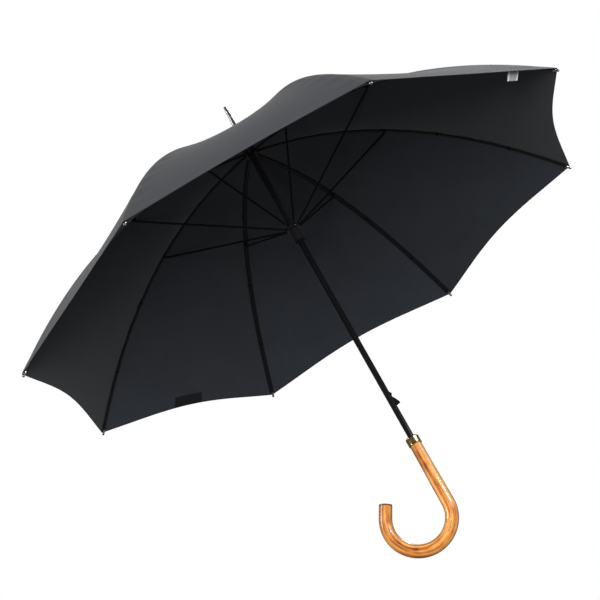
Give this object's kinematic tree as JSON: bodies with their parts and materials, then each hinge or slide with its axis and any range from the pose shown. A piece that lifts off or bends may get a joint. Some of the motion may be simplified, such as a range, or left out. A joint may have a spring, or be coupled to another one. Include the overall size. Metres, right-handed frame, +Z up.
{
  "type": "stick umbrella",
  "caption": "Open stick umbrella with a domed dark canopy on curved ribs, a sprung runner on a steel shaft, and a bent wooden crook handle with a brass collar.",
  "frame": {"origin": "on the shaft's axis in the middle of the straight grip, where a hand holds it, 60 mm below the middle of the brass collar", "axes": "+Z up along the shaft towards the ferrule; the crook bends towards -X in the XZ plane; the release button faces +X"},
  "size_m": [0.973, 0.973, 0.8734],
  "materials": {
    "black_plastic": "moulded black plastic",
    "black_steel": "black gloss lacquer on steel",
    "brass": "polished brass",
    "bright_steel": "bright nickel plate",
    "cloth": "woven near-black polyester pongee",
    "label": "woven pale label, plain",
    "spring_wire": "black spring steel wire",
    "wood": "bent hardwood, honey-coloured gloss varnish"
  },
  "bodies": {
    "stick": {"shaft_tube": "black_steel", "top_notch": "black_plastic", "notch_wire": "bright_steel", "top_cap": "black_plastic", "crown_patch": "cloth", "ferrule": "bright_steel", "opening_spring": "spring_wire", "collar": "brass", "handle": "wood", "button_pin": "bright_steel", "button_spring": "bright_steel"},
    "runner": {"runner": "black_plastic", "runner_wire": "bright_steel", "runner_end_ring": "black_steel"},
    "release_button": {"release_button": "black_steel"},
    "top_catch": {"top_catch": "bright_steel"},
    "rib_1": {"rib_1": "black_steel", "rib_tip_1": "bright_steel", "rib_joint_1": "black_steel", "canopy_panel_1": "cloth"},
    "stretcher_1": {"stretcher_1": "black_steel"},
    "rib_2": {"rib_2": "black_steel", "rib_tip_2": "bright_steel", "rib_joint_2": "black_steel", "canopy_panel_2": "cloth"},
    "stretcher_2": {"stretcher_2": "black_steel"},
    "rib_3": {"rib_3": "black_steel", "rib_tip_3": "bright_steel", "rib_joint_3": "black_steel", "canopy_panel_3": "cloth"},
    "stretcher_3": {"stretcher_3": "black_steel"},
    "rib_4": {"rib_4": "black_steel", "rib_tip_4": "bright_steel", "rib_joint_4": "black_steel", "canopy_panel_4": "cloth", "tie_strap": "cloth"},
    "stretcher_4": {"stretcher_4": "black_steel"},
    "rib_5": {"rib_5": "black_steel", "rib_tip_5": "bright_steel", "rib_joint_5": "black_steel", "canopy_panel_5": "cloth"},
    "stretcher_5": {"stretcher_5": "black_steel"},
    "rib_6": {"rib_6": "black_steel", "rib_tip_6": "bright_steel", "rib_joint_6": "black_steel", "canopy_panel_6": "cloth"},
    "stretcher_6": {"stretcher_6": "black_steel"},
    "rib_7": {"rib_7": "black_steel", "rib_tip_7": "bright_steel", "rib_joint_7": "black_steel", "canopy_panel_7": "cloth"},
    "stretcher_7": {"stretcher_7": "black_steel"},
    "rib_8": {"rib_8": "black_steel", "rib_tip_8": "bright_steel", "rib_joint_8": "black_steel", "canopy_panel_8": "cloth", "care_label": "label"},
    "stretcher_8": {"stretcher_8": "black_steel"}
  },
  "joints": [
    {"name": "canopy_fold", "type": "hinge", "parent": "stick", "child": "rib_1", "pos_m": [0.01016, 0.00421, 0.652], "axis": [-0.3827, 0.9239, 0], "range_deg": [0, 63.78], "stiffness_Nm_per_rad": 1.3, "springref_deg": -80.21, "deforming": ["canopy_panel_1"]},
    {"name": "rib_fold_2", "type": "hinge", "parent": "stick", "child": "rib_2", "pos_m": [0.00421, 0.01016, 0.652], "axis": [-0.9239, 0.3827, 0], "range_deg": [0, 63.78], "deforming": ["canopy_panel_2"]},
    {"name": "rib_fold_3", "type": "hinge", "parent": "stick", "child": "rib_3", "pos_m": [-0.00421, 0.01016, 0.652], "axis": [-0.9239, -0.3827, 0], "range_deg": [0, 63.78], "deforming": ["canopy_panel_3"]},
    {"name": "rib_fold_4", "type": "hinge", "parent": "stick", "child": "rib_4", "pos_m": [-0.01016, 0.00421, 0.652], "axis": [-0.3827, -0.9239, 0], "range_deg": [0, 63.78], "deforming": ["canopy_panel_4", "tie_strap"]},
    {"name": "rib_fold_5", "type": "hinge", "parent": "stick", "child": "rib_5", "pos_m": [-0.01016, -0.00421, 0.652], "axis": [0.3827, -0.9239, 0], "range_deg": [0, 63.78], "deforming": ["canopy_panel_5"]},
    {"name": "rib_fold_6", "type": "hinge", "parent": "stick", "child": "rib_6", "pos_m": [-0.00421, -0.01016, 0.652], "axis": [0.9239, -0.3827, 0], "range_deg": [0, 63.78], "deforming": ["canopy_panel_6"]},
    {"name": "rib_fold_7", "type": "hinge", "parent": "stick", "child": "rib_7", "pos_m": [0.00421, -0.01016, 0.652], "axis": [0.9239, 0.3827, 0], "range_deg": [0, 63.78], "deforming": ["canopy_panel_7"]},
    {"name": "rib_fold_8", "type": "hinge", "parent": "stick", "child": "rib_8", "pos_m": [0.01016, -0.00421, 0.652], "axis": [0.3827, 0.9239, 0], "range_deg": [0, 63.78], "deforming": ["canopy_panel_8", "care_label"]},
    {"name": "stretcher_swing_1", "type": "hinge", "parent": "rib_1", "child": "stretcher_1", "pos_m": [0.22321, 0.09246, 0.6025], "axis": [-0.3827, 0.9239, 0], "range_deg": [-114.9, 0]},
    {"name": "stretcher_swing_2", "type": "hinge", "parent": "rib_2", "child": "stretcher_2", "pos_m": [0.09246, 0.22321, 0.6025], "axis": [-0.9239, 0.3827, 0], "range_deg": [-114.9, 0]},
    {"name": "stretcher_swing_3", "type": "hinge", "parent": "rib_3", "child": "stretcher_3", "pos_m": [-0.09246, 0.22321, 0.6025], "axis": [-0.9239, -0.3827, 0], "range_deg": [-114.9, 0]},
    {"name": "stretcher_swing_4", "type": "hinge", "parent": "rib_4", "child": "stretcher_4", "pos_m": [-0.22321, 0.09246, 0.6025], "axis": [-0.3827, -0.9239, 0], "range_deg": [-114.9, 0]},
    {"name": "stretcher_swing_5", "type": "hinge", "parent": "rib_5", "child": "stretcher_5", "pos_m": [-0.22321, -0.09246, 0.6025], "axis": [0.3827, -0.9239, 0], "range_deg": [-114.9, 0]},
    {"name": "stretcher_swing_6", "type": "hinge", "parent": "rib_6", "child": "stretcher_6", "pos_m": [-0.09246, -0.22321, 0.6025], "axis": [0.9239, -0.3827, 0], "range_deg": [-114.9, 0]},
    {"name": "stretcher_swing_7", "type": "hinge", "parent": "rib_7", "child": "stretcher_7", "pos_m": [0.09246, -0.22321, 0.6025], "axis": [0.9239, 0.3827, 0], "range_deg": [-114.9, 0]},
    {"name": "stretcher_swing_8", "type": "hinge", "parent": "rib_8", "child": "stretcher_8", "pos_m": [0.22321, -0.09246, 0.6025], "axis": [0.3827, 0.9239, 0], "range_deg": [-114.9, 0]},
    {"name": "runner_slide", "type": "slide", "parent": "stick", "child": "runner", "axis": [0, 0, -1], "range_m": [0, 0.317], "deforming": ["opening_spring"]},
    {"name": "button_press", "type": "hinge", "parent": "stick", "child": "release_button", "pos_m": [0.0015, 0, 0.12], "axis": [0, -1, 0], "range_deg": [0, 6], "stiffness_Nm_per_rad": 0.3, "springref_deg": -2.86},
    {"name": "catch_press", "type": "hinge", "parent": "stick", "child": "top_catch", "pos_m": [0.0015, 0, 0.417], "axis": [0, -1, 0], "range_deg": [0, 8], "stiffness_Nm_per_rad": 0.05, "springref_deg": -2.86}
  ],
  "couplings": [
    {"joint": "rib_fold_2", "follows": "canopy_fold", "ratio": 1},
    {"joint": "rib_fold_3", "follows": "canopy_fold", "ratio": 1},
    {"joint": "rib_fold_4", "follows": "canopy_fold", "ratio": 1},
    {"joint": "rib_fold_5", "follows": "canopy_fold", "ratio": 1},
    {"joint": "rib_fold_6", "follows": "canopy_fold", "ratio": 1},
    {"joint": "rib_fold_7", "follows": "canopy_fold", "ratio": 1},
    {"joint": "rib_fold_8", "follows": "canopy_fold", "ratio": 1},
    {"joint": "stretcher_swing_1", "follows": "canopy_fold", "ratio": -1.8004},
    {"joint": "stretcher_swing_2", "follows": "canopy_fold", "ratio": -1.8004},
    {"joint": "stretcher_swing_3", "follows": "canopy_fold", "ratio": -1.8004},
    {"joint": "stretcher_swing_4", "follows": "canopy_fold", "ratio": -1.8004},
    {"joint": "stretcher_swing_5", "follows": "canopy_fold", "ratio": -1.8004},
    {"joint": "stretcher_swing_6", "follows": "canopy_fold", "ratio": -1.8004},
    {"joint": "stretcher_swing_7", "follows": "canopy_fold", "ratio": -1.8004},
    {"joint": "stretcher_swing_8", "follows": "canopy_fold", "ratio": -1.8004},
    {"joint": "runner_slide", "follows": "canopy_fold", "m_per_rad": 0.28457}
  ]
}
